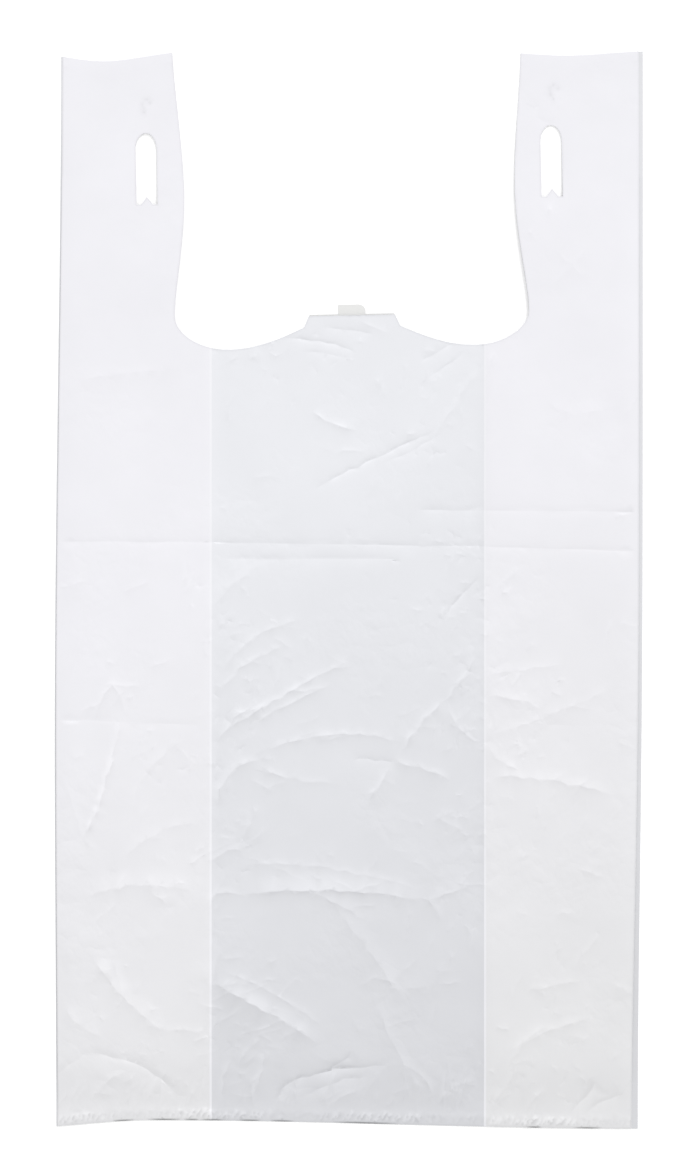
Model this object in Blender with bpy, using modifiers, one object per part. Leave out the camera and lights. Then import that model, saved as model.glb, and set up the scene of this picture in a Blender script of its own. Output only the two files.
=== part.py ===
"""Plastic vest carrier bag, lying flat on its back panel.

The bag is one blown film tube with a gusset folded into each side. It is welded across
the bottom and across the top of each handle. One die cut through every layer makes the
mouth, the handles, the torn centre tab and the two rack slots.

Metres, +Z up, +Y towards the handles, origin under the middle of the bag.
Heights along the bag are measured from its bottom edge, as a bag maker gives them.
"""
import math

import bmesh
import bpy
from mathutils import Vector

# Film tube
FACE_WIDTH = 0.301
GUSSET_DEPTH = 0.080
BAG_LENGTH = 0.550
FILM = 0.00002

# Air between the layers, which the welds press out
LAYER_GAP = 0.0004
WELD_GAP = 0.00006
WELD_EASE = 0.030
GUSSET_STEP_RUN = 0.006

# Welds
BOTTOM_WELD_INSET = 0.0065
TOP_WELD_INSET = 0.0045
WELD_WIDTH = 0.0012
WELD_END_INSET = 0.0005

# How the limp film pulls in along its sides
LEFT_TOP_PULL = 0.0043
TOP_PULL_SPREAD = 0.250
LEFT_BOTTOM_PULL = 0.0018
RIGHT_BOTTOM_PULL = 0.0026
BOTTOM_PULL_SPREAD = 0.170

# How its cut ends rise and dip, with places measured in from the sides
BOTTOM_RISE = 0.0050
BOTTOM_RISE_INSET = 0.0075
BOTTOM_RISE_CLIMB = 0.023
BOTTOM_RISE_FALL = 0.270
LEFT_TOP_DIP = 0.0055
LEFT_TOP_DIP_INSET = 0.0225
RIGHT_TOP_DIP = 0.0026
RIGHT_TOP_DIP_INSET = 0.0385
TOP_DIP_SPREAD = 0.030
END_EASE = 0.060

# Die cut, which sits a little askew on the tube
DIE_TILT = math.radians(1.15)
DIE_SHIFT = 0.0024
CUT_MARGIN = 0.010

# Mouth, with rises measured from the lowest line of its scoops
MOUTH_WIDTH = 0.1806
MOUTH_DEPTH = 0.1515
NECK_RISE = 0.0175
NECK_PULL_UP = 0.014
NECK_PULL_DOWN = 0.009
HANDLE_SWELL = 0.006
HANDLE_SWELL_RISE = 0.080
HANDLE_SWELL_PULL = 0.025
HANDLE_TOP_SWELL = 0.0012
SCOOP_LOW_INSET = 0.0275
SCOOP_PULL = 0.015

# Torn centre tab, with the nub that only the back panel keeps
TAB_WIDTH = 0.0432
TAB_RISE = 0.0171
TAB_FOOT_SPREAD = 0.0029
TAB_FOOT_RISE = 0.0106
TAB_FOOT_PULL = (0.010, -0.0046)
TAB_FRONT_DROP = 0.0008
NUB_WIDTH = 0.0135
NUB_RISE = 0.0048

# Rack slots
SLOT_WIDTH = 0.0108
SLOT_LENGTH = 0.0365
SLOT_LAND = 0.0136
SLOT_RISE = 0.0748
SLOT_TOP_ROUND = 0.0085
FISHTAIL_WIDTH = 0.0060
FISHTAIL_RISE = 0.0040

# Packing folds, as heights above the bottom edge
PACK_FOLDS = (0.2065, 0.2980, 0.3155)
PACK_FOLD_DEPTH = 0.0006
PACK_FOLD_WIDTH = 0.005

# Low billow of the whole sheet of film
BILLOW = 0.0005
BILLOW_ACROSS = 0.115
BILLOW_ALONG = 0.150

# Main wrinkles: middle across, middle height, heading in degrees, length, width, rise
WRINKLES = (
    (-0.033, 0.219, 28, 0.085, 0.016, 0.0012),
    (0.046, 0.214, 49, 0.062, 0.016, 0.0012),
    (-0.043, 0.247, 28, 0.040, 0.014, 0.0008),
    (0.015, 0.341, 25, 0.075, 0.015, 0.0007),
    (-0.006, 0.124, -6, 0.093, 0.018, 0.0012),
    (-0.042, 0.063, -29, 0.065, 0.016, 0.0014),
    (0.018, 0.081, -51, 0.079, 0.017, 0.0008),
    (-0.001, 0.026, 19, 0.062, 0.014, 0.0010),
    (-0.126, 0.177, 70, 0.067, 0.015, 0.0010),
    (-0.111, 0.070, -43, 0.060, 0.018, 0.0012),
    (-0.110, 0.033, -24, 0.077, 0.014, 0.0008),
    (0.107, 0.216, 15, 0.067, 0.015, 0.0010),
    (0.107, 0.174, -8, 0.073, 0.016, 0.0010),
    (0.097, 0.075, 13, 0.039, 0.016, 0.0010),
    (0.122, 0.030, 41, 0.054, 0.016, 0.0010),
)

# Mesh fineness
ROW_SPACING = 0.0235
SIDE_CELLS = 4
CENTRE_CELLS = 7
BACK_CELL_COUNT = 2
BOTTOM_WELD_CELLS = 11
HANDLE_WELD_CELLS = 3
CURVE_RESOLUTION = 6
MERGE_DISTANCE = 0.000001

# Worked out from the sizes above
HALF_WIDTH = FACE_WIDTH / 2
HALF_LENGTH = BAG_LENGTH / 2
FOLD_X = HALF_WIDTH - GUSSET_DEPTH
SCOOP_LOW = BAG_LENGTH - MOUTH_DEPTH
MOUTH_HALF = MOUTH_WIDTH / 2
TOP_LAYER = 3
ELLIPSE_PULL = 0.5523

FILM_COLOUR = (0.871, 0.871, 0.913, 1.0)
FILM_ROUGHNESS = 0.42


def smooth_step(value):
    """Eased ramp from 0 at 0 to 1 at 1."""
    value = min(max(value, 0.0), 1.0)
    return value * value * (3 - 2 * value)


def bump(distance, width):
    """Bell of height 1 that is gone at about twice its width."""
    return math.exp(-(distance / width) ** 2)


def spread(start, end, cells):
    """Evenly spaced values from start to end, both included."""
    return [start + (end - start) * index / cells for index in range(cells + 1)]


def film_x(x, height):
    """Where a point of the film lies across the bag once its sides have pulled in."""
    side_share = max(abs(x) - FOLD_X, 0.0) / GUSSET_DEPTH
    to_bottom = bump(height, BOTTOM_PULL_SPREAD)
    if x > 0:
        return x - side_share * RIGHT_BOTTOM_PULL * to_bottom
    to_top = bump(BAG_LENGTH - height, TOP_PULL_SPREAD)
    return x + side_share * (LEFT_TOP_PULL * to_top + LEFT_BOTTOM_PULL * to_bottom)


def film_y(x, height):
    """Where a point of the film lies along the bag, with the rises and dips of its ends."""
    from_left = x + HALF_WIDTH
    from_right = HALF_WIDTH - x
    climbed = (from_left - BOTTOM_RISE_INSET) / BOTTOM_RISE_CLIMB
    fallen = (from_left - BOTTOM_RISE_INSET - BOTTOM_RISE_CLIMB) / BOTTOM_RISE_FALL
    rise = BOTTOM_RISE * smooth_step(climbed) * (1 - smooth_step(fallen))
    dip = LEFT_TOP_DIP * bump(from_left - LEFT_TOP_DIP_INSET, TOP_DIP_SPREAD)
    dip += RIGHT_TOP_DIP * bump(from_right - RIGHT_TOP_DIP_INSET, TOP_DIP_SPREAD)
    at_bottom = 1 - smooth_step(height / END_EASE)
    at_top = 1 - smooth_step((BAG_LENGTH - height) / END_EASE)
    return height + rise * at_bottom - dip * at_top - HALF_LENGTH


def weld_freedom(height):
    """0 on a weld and beyond it, rising to 1 where the layers part freely."""
    from_bottom = (height - BOTTOM_WELD_INSET - WELD_WIDTH) / WELD_EASE
    from_top = (BAG_LENGTH - TOP_WELD_INSET - WELD_WIDTH - height) / WELD_EASE
    return smooth_step(from_bottom) * smooth_step(from_top)


def wrinkle(x, height, entry):
    """Height of one long rounded wrinkle at a point."""
    middle_x, middle_height, degrees, length, width, rise = entry
    heading = math.radians(degrees)
    offset = Vector((x - middle_x, height - middle_height))
    direction = Vector((math.cos(heading), math.sin(heading)))
    along = offset.dot(direction)
    across = offset.cross(direction)
    return rise * bump(along, length / 2) * bump(across, width)


def relief(x, height):
    """How far the front panel stands off where the film billows and wrinkles."""
    waves = math.cos(math.tau * x / BILLOW_ACROSS) * math.cos(math.tau * height / BILLOW_ALONG)
    lift = PACK_FOLD_DEPTH + BILLOW * (1 + waves)
    lift += sum(wrinkle(x, height, entry) for entry in WRINKLES)
    lift -= PACK_FOLD_DEPTH * max(bump(height - fold, PACK_FOLD_WIDTH) for fold in PACK_FOLDS)
    return lift * weld_freedom(height)


def layer_z(x, height, layer):
    """Middle of a film layer above the ground, from layer 0 at the back to 3 at the front.

    Half layers are the tips of the folds between two layers.
    """
    gap = WELD_GAP + (LAYER_GAP - WELD_GAP) * weld_freedom(height)
    stack = layer
    if layer == TOP_LAYER:
        inside = smooth_step((FOLD_X - abs(x)) / GUSSET_STEP_RUN)
        stack = TOP_LAYER - (TOP_LAYER - 1) * inside
    return FILM / 2 + stack * gap + layer / TOP_LAYER * relief(x, height)


def panel_stations(side_cells, centre_cells):
    """Places across a panel, from the right outer fold to the left one."""
    side = spread(HALF_WIDTH, FOLD_X, side_cells)
    step_end = FOLD_X - GUSSET_STEP_RUN
    centre = spread(step_end, -step_end, centre_cells)
    return side + centre + [-x for x in reversed(side)]


def tube_section():
    """Points (place across, layer, draw-back) in order around the folded tube.

    A point next to a fold tip is drawn back from it, by the sign in the third value.
    """
    front = panel_stations(SIDE_CELLS, CENTRE_CELLS)
    back = panel_stations(BACK_CELL_COUNT, BACK_CELL_COUNT)
    gusset = spread(HALF_WIDTH, FOLD_X, SIDE_CELLS)
    runs = (
        ([-x for x in front], 3),
        (gusset, 2),
        (gusset[::-1], 1),
        (back, 0),
        ([-x for x in gusset], 1),
        ([-x for x in gusset[::-1]], 2),
    )
    points = []
    for index, (stations, layer) in enumerate(runs):
        heading = 1 if stations[-1] > stations[0] else -1
        points.append((stations[0], layer, heading))
        points += [(x, layer, 0) for x in stations[1:-1]]
        points.append((stations[-1], layer, -heading))
        next_layer = runs[(index + 1) % len(runs)][1]
        points.append((stations[-1], (layer + next_layer) / 2, 0))
    return points


def tube_rows():
    """Heights of the loft's rows: the ends, the welds, the packing folds and steps between."""
    fixed = [0.0, BOTTOM_WELD_INSET + WELD_WIDTH]
    for fold in PACK_FOLDS:
        fixed += [fold - PACK_FOLD_WIDTH, fold, fold + PACK_FOLD_WIDTH]
    fixed += [BAG_LENGTH - TOP_WELD_INSET - WELD_WIDTH, BAG_LENGTH]
    heights = fixed[:1]
    for low, high in zip(fixed, fixed[1:]):
        cells = max(1, round((high - low) / ROW_SPACING))
        heights += spread(low, high, cells)[1:]
    return heights


def film_point(x, height, layer, draw_back):
    """World place of one point of the film's middle surface."""
    fold_radius = (layer_z(x, height, 1) - layer_z(x, height, 0)) / 2
    across = film_x(x, height) + draw_back * fold_radius
    return across, film_y(x, height), layer_z(x, height, layer)


def film_cell(near_low, far_low, far_high, near_high):
    """One cell of the film as two triangles, split from low left to high right.

    Every layer is split alike, so layers a hair apart never cross inside a cell.
    """
    if far_low.co.x > near_low.co.x:
        return (near_low, far_low, far_high), (near_low, far_high, near_high)
    return (near_low, far_low, near_high), (far_low, far_high, near_high)


def film_tube(collection):
    """The gusseted tube as a loft of one folded section, given the film's thickness."""
    shape = bmesh.new()
    section = tube_section()
    rows = [
        [shape.verts.new(film_point(x, height, layer, draw_back)) for x, layer, draw_back in section]
        for height in tube_rows()
    ]
    for low, high in zip(rows, rows[1:]):
        for index in range(len(section)):
            for triangle in film_cell(low[index - 1], low[index], high[index], high[index - 1]):
                shape.faces.new(triangle)
    mesh = bpy.data.meshes.new("carrier_bag")
    shape.to_mesh(mesh)
    shape.free()
    mesh.shade_smooth()
    tube = bpy.data.objects.new("carrier_bag", mesh)
    collection.objects.link(tube)
    wall = tube.modifiers.new("film", "SOLIDIFY")
    wall.thickness = FILM
    wall.offset = 0
    wall.use_even_offset = True
    return tube


def corner(x, y):
    """A sharp corner of a flat outline."""
    return (x, y), None, None


def mirrored(knots):
    """The other half of an outline, in the order that carries on around it."""
    def flip(pull):
        return pull and (-pull[0], pull[1])
    return [((-x, y), flip(leave), flip(arrive)) for (x, y), arrive, leave in reversed(knots)]


def set_knot(knot, point, arrive, leave):
    """Give a Bezier point its place and its pulls, which are None along a straight edge."""
    place = Vector((*point, 0))
    knot.co = place
    for side, pull in (("left", arrive), ("right", leave)):
        setattr(knot, f"handle_{side}_type", "FREE" if pull else "VECTOR")
        setattr(knot, f"handle_{side}", place + Vector((*(pull or (0, 0)), 0)))


def prism(name, knots, low, high, collection):
    """Closed block between two heights above the ground, from a flat outline."""
    curve = bpy.data.curves.new(name, "CURVE")
    curve.dimensions = "2D"
    curve.fill_mode = "BOTH"
    curve.extrude = (high - low) / 2
    curve.resolution_u = CURVE_RESOLUTION
    spline = curve.splines.new("BEZIER")
    spline.use_cyclic_u = True
    spline.bezier_points.add(len(knots) - 1)
    for knot, (point, arrive, leave) in zip(spline.bezier_points, knots):
        set_knot(knot, point, arrive, leave)
    outline = bpy.data.objects.new(name, curve)
    collection.objects.link(outline)
    evaluated = outline.evaluated_get(bpy.context.evaluated_depsgraph_get())
    mesh = bpy.data.meshes.new_from_object(evaluated)
    bpy.data.objects.remove(outline, do_unlink=True)
    shape = bmesh.new()
    shape.from_mesh(mesh)
    bmesh.ops.remove_doubles(shape, verts=shape.verts[:], dist=MERGE_DISTANCE)
    bmesh.ops.recalc_face_normals(shape, faces=shape.faces[:])
    shape.to_mesh(mesh)
    shape.free()
    block = bpy.data.objects.new(name, mesh)
    block.location.z = (low + high) / 2
    block.hide_render = True
    block.display_type = "WIRE"
    collection.objects.link(block)
    return block


def weld_bar(name, height, start, end, cells, collection):
    """The fused rib of one weld, which follows the rises and dips of its end of the film."""
    stations = spread(start, end, cells)
    upper = height + WELD_WIDTH / 2
    lower = height - WELD_WIDTH / 2
    knots = [corner(film_x(x, lower), film_y(x, lower)) for x in stations]
    knots += [corner(film_x(x, upper), film_y(x, upper)) for x in reversed(stations)]
    top = layer_z(HALF_WIDTH, height, TOP_LAYER) + FILM / 4
    prism(name, knots, FILM / 4, top, collection)


def weld_bars(collection):
    """The bottom weld, and one across the top of each handle that runs on into the mouth."""
    outer = HALF_WIDTH - WELD_END_INSET
    inner = MOUTH_HALF - HANDLE_SWELL - CUT_MARGIN
    top = BAG_LENGTH - TOP_WELD_INSET
    weld_bar("bottom_weld", BOTTOM_WELD_INSET, -outer, outer, BOTTOM_WELD_CELLS, collection)
    weld_bar("left_handle_weld", top, -outer, -inner, HANDLE_WELD_CELLS, collection)
    weld_bar("right_handle_weld", top, inner, outer, HANDLE_WELD_CELLS, collection)


def mouth_knots():
    """Outline of the mouth above its lowest line, as the die cuts it."""
    tab_half = TAB_WIDTH / 2
    nub_half = NUB_WIDTH / 2
    nub_top = TAB_RISE + NUB_RISE
    right = [
        ((MOUTH_HALF - HANDLE_TOP_SWELL, MOUTH_DEPTH + CUT_MARGIN), None, (0, -HANDLE_SWELL_PULL)),
        ((MOUTH_HALF - HANDLE_SWELL, HANDLE_SWELL_RISE), (0, HANDLE_SWELL_PULL), (0, -HANDLE_SWELL_PULL)),
        ((MOUTH_HALF, NECK_RISE), (0, NECK_PULL_UP), (0, -NECK_PULL_DOWN)),
        ((MOUTH_HALF - SCOOP_LOW_INSET, 0), (SCOOP_PULL, 0), (-SCOOP_PULL, 0)),
        ((tab_half + TAB_FOOT_SPREAD, TAB_FOOT_RISE), TAB_FOOT_PULL, None),
        corner(tab_half, TAB_RISE),
        corner(nub_half, TAB_RISE),
        corner(nub_half, nub_top),
    ]
    return right + mirrored(right)


def tab_trim_knots():
    """Outline that tears the tab's nub, and a little more, off the front panel."""
    half = TAB_WIDTH / 2 + CUT_MARGIN
    low = TAB_RISE - TAB_FRONT_DROP
    high = TAB_RISE + NUB_RISE + CUT_MARGIN
    return [corner(half, low), corner(half, high), corner(-half, high), corner(-half, low)]


def slot_knots(centre):
    """Outline of one rack slot, round at the top and fishtailed at the bottom."""
    half = SLOT_WIDTH / 2
    shoulder = SLOT_RISE + SLOT_LENGTH - SLOT_TOP_ROUND
    side_pull = (0, SLOT_TOP_ROUND * ELLIPSE_PULL)
    top_pull = half * ELLIPSE_PULL
    return [
        ((centre, SLOT_RISE + SLOT_LENGTH), (top_pull, 0), (-top_pull, 0)),
        ((centre - half, shoulder), side_pull, None),
        corner(centre - half, SLOT_RISE),
        corner(centre - FISHTAIL_WIDTH / 2, SLOT_RISE),
        corner(centre, SLOT_RISE + FISHTAIL_RISE),
        corner(centre + FISHTAIL_WIDTH / 2, SLOT_RISE),
        corner(centre + half, SLOT_RISE),
        ((centre + half, shoulder), None, side_pull),
    ]


def die_cutters(collection):
    """Every cut of the die, set askew on the tube as one tool."""
    slot_x = MOUTH_HALF - HANDLE_SWELL + SLOT_LAND + SLOT_WIDTH / 2
    above_back = FILM + LAYER_GAP / 2
    cutters = [
        prism("mouth_cut", mouth_knots(), -CUT_MARGIN, CUT_MARGIN, collection),
        prism("tab_trim", tab_trim_knots(), above_back, CUT_MARGIN, collection),
        prism("left_slot_cut", slot_knots(-slot_x), -CUT_MARGIN, CUT_MARGIN, collection),
        prism("right_slot_cut", slot_knots(slot_x), -CUT_MARGIN, CUT_MARGIN, collection),
    ]
    for cutter in cutters:
        cutter.location.x = DIE_SHIFT
        cutter.location.y = SCOOP_LOW - HALF_LENGTH
        cutter.rotation_euler.z = DIE_TILT


def combine(target, tools, operation):
    """Join or cut the target with every solid of a collection at once."""
    step = target.modifiers.new(tools.name, "BOOLEAN")
    step.operation = operation
    step.operand_type = "COLLECTION"
    step.collection = tools
    step.solver = "EXACT"


def film_material():
    """White high-density film with a soft gloss."""
    material = bpy.data.materials.new("white_film")
    material.use_nodes = True
    shader = material.node_tree.nodes["Principled BSDF"]
    shader.inputs["Base Color"].default_value = FILM_COLOUR
    shader.inputs["Roughness"].default_value = FILM_ROUGHNESS
    shader.inputs["Metallic"].default_value = 0.0
    return material


def new_collection(name):
    """A collection linked to the scene."""
    collection = bpy.data.collections.new(name)
    bpy.context.scene.collection.children.link(collection)
    return collection


def main():
    for old in list(bpy.data.objects):
        bpy.data.objects.remove(old, do_unlink=True)
    bag = film_tube(new_collection("plastic_carrier_bag"))
    bag.data.materials.append(film_material())
    welds = new_collection("welds")
    weld_bars(welds)
    combine(bag, welds, "UNION")
    cutters = new_collection("cutters")
    die_cutters(cutters)
    combine(bag, cutters, "DIFFERENCE")


main()
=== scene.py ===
"""Looks of the plastic vest carrier bag: one sheet of creased white film, folded and die cut.

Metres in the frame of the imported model: +Z up, +Y towards the handles.
Film coordinates are places across the flat tube and heights along it from the bottom edge.
"""
import math
import random
from functools import cache
from typing import NamedTuple

import bmesh
import bpy
import numpy as np
from mathutils import Matrix, Vector
from mathutils.geometry import delaunay_2d_cdt, interpolate_bezier

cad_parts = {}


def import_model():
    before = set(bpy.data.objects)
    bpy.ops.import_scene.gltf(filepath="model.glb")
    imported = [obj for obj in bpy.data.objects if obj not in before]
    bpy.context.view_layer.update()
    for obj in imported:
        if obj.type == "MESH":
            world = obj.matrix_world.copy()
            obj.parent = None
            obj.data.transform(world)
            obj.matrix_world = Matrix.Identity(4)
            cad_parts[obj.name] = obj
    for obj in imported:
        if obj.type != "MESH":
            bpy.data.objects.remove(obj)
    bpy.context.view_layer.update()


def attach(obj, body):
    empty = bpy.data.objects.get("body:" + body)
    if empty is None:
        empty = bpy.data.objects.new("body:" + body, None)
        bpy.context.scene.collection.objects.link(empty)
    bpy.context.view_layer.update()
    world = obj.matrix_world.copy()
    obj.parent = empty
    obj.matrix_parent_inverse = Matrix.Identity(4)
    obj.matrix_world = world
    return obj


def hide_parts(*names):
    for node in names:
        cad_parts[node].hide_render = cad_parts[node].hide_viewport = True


MM = 0.001

# Film tube
FACE_WIDTH = 0.301
GUSSET_DEPTH = 0.080
BAG_LENGTH = 0.550
FILM = 0.00002

# Air between the layers, which the welds press out
LAYER_GAP = 0.00028
WELD_GAP = 0.00006
BOTTOM_WELD_EASE = 0.030
TOP_WELD_EASE = 0.110
CREASE_WELD_EASE = 0.012
FOLD_STEP_RUN = 0.0026
FRONT_LIFT = 0.0008
BILLOW = 0.0003
BILLOW_ACROSS = 0.115
BILLOW_ALONG = 0.150
EDGE_EASE = 0.007
EDGE_SHARE = 0.45

# Welds
BOTTOM_WELD_INSET = 0.0048
TOP_WELD_INSET = 0.0045
WELD_WIDTH = 0.0009
WELD_RIB = 0.00010
SKIRT_SHADE = 0.030

# Diagonal crimping of the skirt below the bottom weld, strong in patches
STROKE_PITCH = 0.0028
STROKE_START = (0.0004, 0.0014)
STROKE_HEADING = (math.radians(48), math.radians(66))
STROKE_LENGTH = (0.0044, 0.0066)
STROKE_REACH = 0.0009
STROKE_RISE = (0.00014, 0.00034)
# How much stronger the painted highlight and shade is along the strokes than along the folds
STROKE_PAINTED_SHADING = 7.0
STROKE_PATCH = 0.083
STROKE_PATCH_DEPTH = 0.7
STROKE_SEED = 3

# Painted shadow in the gaps where the layers part at the bottom edge, in millimetres: middle and half
# length
PAINTED_GAP_SHADOWS = (
    (-116, 6.0),
    (-94.3, 9.0),
    (-79.8, 4.2),
    (-69, 6.4),
    (-50, 6.0),
    (-33.5, 6.4),
    (9, 17.0),
    (97, 4.2),
    (126.5, 8.0),
)
PAINTED_GAP_SHADOW_HEIGHT = 0.0011
PAINTED_GAP_SHADOW_STRENGTH = 0.72

# Painted shade in a thin darker line along the cuts and outer folds, and the band beside them that the mesh
# keeps fine
EDGE_LINE_REACH = 0.0010
EDGE_LINE_PAINTED_SHADE = 0.08
EDGE_BAND = 0.0022

# How the limp film pulls in along its sides
LEFT_TOP_PULL = 0.0043
TOP_PULL_SPREAD = 0.250
LEFT_BOTTOM_PULL = 0.0018
RIGHT_BOTTOM_PULL = 0.0026
BOTTOM_PULL_SPREAD = 0.170
LEFT_FRONT_DRAW = 0.0006
RIGHT_FRONT_DRAW = 0.0020
RIGHT_FRONT_DRAW_LOW = 0.0012
RIGHT_FRONT_DRAW_SPREAD = 0.120

# How its cut ends rise and dip
BOTTOM_RISE = 0.0044
BOTTOM_RISE_INSET = -0.027
BOTTOM_RISE_CLIMB = 0.077
BOTTOM_RISE_FALL = 0.250
LEFT_TOP_DIP = 0.0055
LEFT_TOP_DIP_INSET = 0.0225
RIGHT_TOP_DIP = 0.0026
RIGHT_TOP_DIP_INSET = 0.0385
TOP_DIP_SPREAD = 0.030
END_EASE = 0.060

# Die cut, which sits a little askew on the tube
DIE_TILT = math.radians(1.15)
DIE_SHIFT = 0.0024
CUT_MARGIN = 0.010
MOUTH_WIDTH = 0.1806
MOUTH_DEPTH = 0.1515
NECK_RISE = 0.0175
NECK_PULL_UP = 0.014
NECK_PULL_DOWN = 0.009
HANDLE_SWELL = 0.006
HANDLE_SWELL_RISE = 0.080
HANDLE_SWELL_PULL = 0.025
HANDLE_TOP_SWELL = 0.0012
SCOOP_LOW_INSET = 0.0275
SCOOP_PULL = 0.015
TAB_WIDTH = 0.0432
TAB_RISE = 0.0171
TAB_FOOT_SPREAD = 0.0029
TAB_FOOT_RISE = 0.0106
TAB_FOOT_PULL = (0.010, -0.0046)
TAB_FRONT_DROP = 0.0008
NUB_WIDTH = 0.0141
NUB_RISE = 0.0048
NUB_ROUND = 0.0036
SLOT_WIDTH = 0.0108
SLOT_LENGTH = 0.0365
SLOT_LAND = 0.0136
SLOT_RISE = 0.0748
SLOT_TOP_ROUND = 0.0085
FISHTAIL_WIDTH = 0.0060
FISHTAIL_RISE = 0.0040
CURVE_POINTS = 17
ELLIPSE_PULL = 0.5523
UNFOLD_STEPS = 5
TINY = 0.000001

# Pin marks of the pack: open rings pressed into the film around places on it (across, height)
PIN_MARKS = ((-0.1048, 0.5232), (0.1062, 0.5307))
PIN_MARK_WIDTH = 0.0044
PIN_MARK_LENGTH = 0.0078
PIN_MARK_START, PIN_MARK_END = math.radians(0), math.radians(285)
PIN_MARK_CELLS = 11
PIN_MARK_REACH = 0.0007
PIN_MARK_DROP = 0.00022
# How far the painted shade darkens the pressed rings
PIN_MARK_PAINTED_SHADE = 0.07
PIN_MARK_TAPER = 0.12
PIN_MARK_SEED = 2

# Packing folds in millimetres: start and end as (across, height), reach, and how far each presses down
PACK_FOLDS = (
    ((-149.5, 299.5), (-60, 299.0), 1.3, 0.16),
    ((-72, 299.0), (72, 297.0), 1.6, 0.30),
    ((66, 297.0), (149.5, 294.5), 1.2, 0.17),
    ((34, 315.5), (72, 315.0), 2.0, 0.30),
    ((66, 315.5), (149.5, 314.5), 1.4, 0.20),
    ((-66, 290.5), (26, 290.5), 2.4, 0.26),
    ((-149.5, 208.7), (-73, 205.8), 1.8, 0.12),
    ((78, 207.2), (136, 205.0), 1.6, 0.10),
)
PACK_FOLD_STEP = 0.014
PACK_FOLD_TAPER = 0.05
SMALL_KINK = 0.00015

# Creases in millimetres. Each runs from a start through a middle point to an end, all as
# (across, height), then has its reach above the line, its reach below it, and its rise.
CENTRE_CREASES = (
    ((-21, 324), (14, 342), (48, 357), 0.9, 1.2, -0.42),
    ((18, 340), (33, 346), (49, 355), 0.8, 0.9, -0.20),
    ((-18, 366), (-8, 360), (4, 356), 1.2, 0.8, 0.36),
    ((18, 388), (16, 380), (21, 373), 1.1, 1.1, 0.16),
    ((40, 382), (50, 389), (60, 397), 0.8, 1.2, -0.28),
    ((36, 390), (45, 396), (55, 401), 0.8, 1.1, -0.24),
    ((-33, 403), (-13, 401), (4, 396), 0.8, 1.2, -0.36),
    ((-25, 397), (-10, 395), (2, 393), 0.8, 1.0, -0.18),
    ((43, 350), (57, 373), (68, 388), 1.8, 1.4, 0.20),
    ((-69, 264), (-60, 276), (-48, 285), 3.5, 2.0, 0.26),
    ((-64, 232), (-48, 250), (-22, 260), 2.0, 1.3, 0.34),
    ((-66, 200), (-38, 218), (3, 240), 1.7, 1.2, 0.52),
    ((-66, 222), (-50, 238), (-30, 246), 1.6, 1.2, 0.30),
    ((-48, 207), (-31, 216), (-8, 227), 1.4, 1.2, 0.34),
    ((-66, 197), (-60, 207), (-52, 214), 1.6, 1.2, 0.26),
    ((49, 261), (57, 271), (69, 283), 0.9, 1.4, -0.44),
    ((-48, 191), (-8, 201), (28, 197), 1.8, 1.3, 0.42),
    ((2, 188), (14, 188), (26, 187), 1.0, 1.4, -0.32),
    ((27, 191), (38, 207), (50, 219), 1.6, 2.4, 0.56),
    ((50, 219), (58, 229), (66, 240), 1.4, 2.0, 0.40),
    ((50, 219), (57, 204), (68, 197), 1.6, 1.4, 0.28),
    ((-66, 164), (-61, 181), (-45, 188), 2.6, 2.2, 0.48),
    ((-46, 186), (-31, 179), (-1, 176), 1.8, 1.4, 0.32),
    ((10, 167), (16, 176), (22, 185), 1.6, 2.4, 0.44),
    ((22, 187), (37, 184), (52, 178), 1.8, 3.0, 0.54),
    ((-53, 146), (-50, 156), (-48, 166), 1.6, 1.8, 0.26),
    ((-72, 135), (-63, 141), (-54, 142), 2.0, 1.6, 0.28),
    ((45, 160), (53, 155), (61, 151), 1.6, 1.8, 0.26),
    ((54, 158), (55, 154), (52, 149), 1.4, 1.4, 0.20),
    ((-60, 119), (-10, 121.5), (46, 116), 6.4, 1.4, 0.66),
    ((-54, 134), (-18, 134), (34, 123), 1.6, 2.6, 0.26),
    ((40, 118), (44, 113), (48, 106), 2.0, 1.8, 0.34),
    ((-70, 112), (-67, 120), (-54, 120), 2.0, 1.4, 0.40),
    ((-70, 70), (-67, 91), (-69, 106), 2.0, 2.0, 0.24),
    ((-72, 75), (-45, 62), (-12, 41), 4.2, 12.0, 0.80),
    ((-66, 81), (-40, 70), (-10, 50), 1.2, 2.0, 0.20),
    ((-9, 116), (9, 93), (31, 62), 4.6, 2.6, 0.26),
    ((13, 68), (28, 33), (40, 18), 3.0, 3.0, 0.26),
    ((-48, 12), (-44, 29), (-42, 39), 1.8, 1.8, 0.50),
    ((-36, 8), (-22, 24), (29, 32), 1.3, 4.2, -0.80),
    ((-26, 12), (-7, 21), (14, 26), 1.8, 2.0, -0.34),
    ((-66, 8), (-63, 24), (-59, 33), 1.6, 1.8, 0.40),
    ((-56, 30), (-50, 40), (-44, 46), 2.2, 2.0, 0.28),
    ((46, 11), (54, 20), (66, 24), 2.0, 2.0, 0.30),
    ((28, 32), (38, 25), (44, 14), 2.4, 2.4, 0.34),
    ((-12, 8), (-4, 13), (8, 18), 1.8, 1.8, 0.30),
    ((-14, 409), (0, 407), (13, 405), 0.9, 1.2, -0.26),
)
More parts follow.
